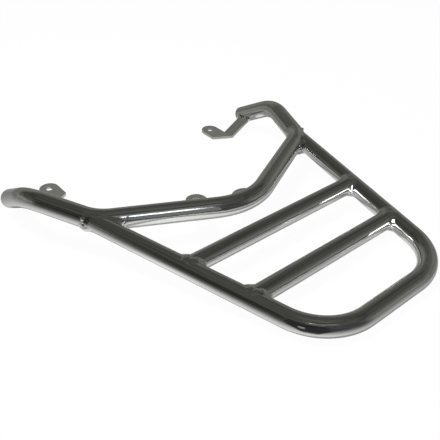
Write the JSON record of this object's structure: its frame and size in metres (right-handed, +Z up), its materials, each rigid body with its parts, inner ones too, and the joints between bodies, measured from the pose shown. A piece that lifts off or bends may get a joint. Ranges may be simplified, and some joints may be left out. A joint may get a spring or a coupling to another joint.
{
  "type": "motorcycle luggage rack",
  "caption": "Tubular motorcycle luggage rack: a tapered loop with crossbars, welded behind a bent tube that goes round the tail of the seat and ends in folded brackets with bolt holes.",
  "frame": {"origin": "midway between the two front bolt holes, on the underside of their lugs", "axes": "+X to the rider's right, +Y forward along the rack, +Z up"},
  "size_m": [0.3776, 0.4205, 0.0603],
  "materials": {
    "chrome_tube": "polished chrome plate on steel tube",
    "chrome_plate": "chrome plate on cut steel strip, less polished than the tubes",
    "chrome_weld": "chrome plate over ground weld beads"
  },
  "bodies": {
    "root": {"front_tube": "chrome_tube", "rear_loop": "chrome_tube", "front_crossbar": "chrome_tube", "rear_crossbar": "chrome_tube", "left_bracket": "chrome_plate", "right_bracket": "chrome_plate", "vee_lug": "chrome_plate", "apex_lug": "chrome_plate", "left_rail_weld": "chrome_weld", "right_rail_weld": "chrome_weld", "front_crossbar_left_weld": "chrome_weld", "front_crossbar_right_weld": "chrome_weld", "rear_crossbar_left_weld": "chrome_weld", "rear_crossbar_right_weld": "chrome_weld", "left_bracket_weld": "chrome_weld", "right_bracket_weld": "chrome_weld", "vee_lug_weld": "chrome_weld", "apex_lug_weld": "chrome_weld"}
  },
  "joints": []
}
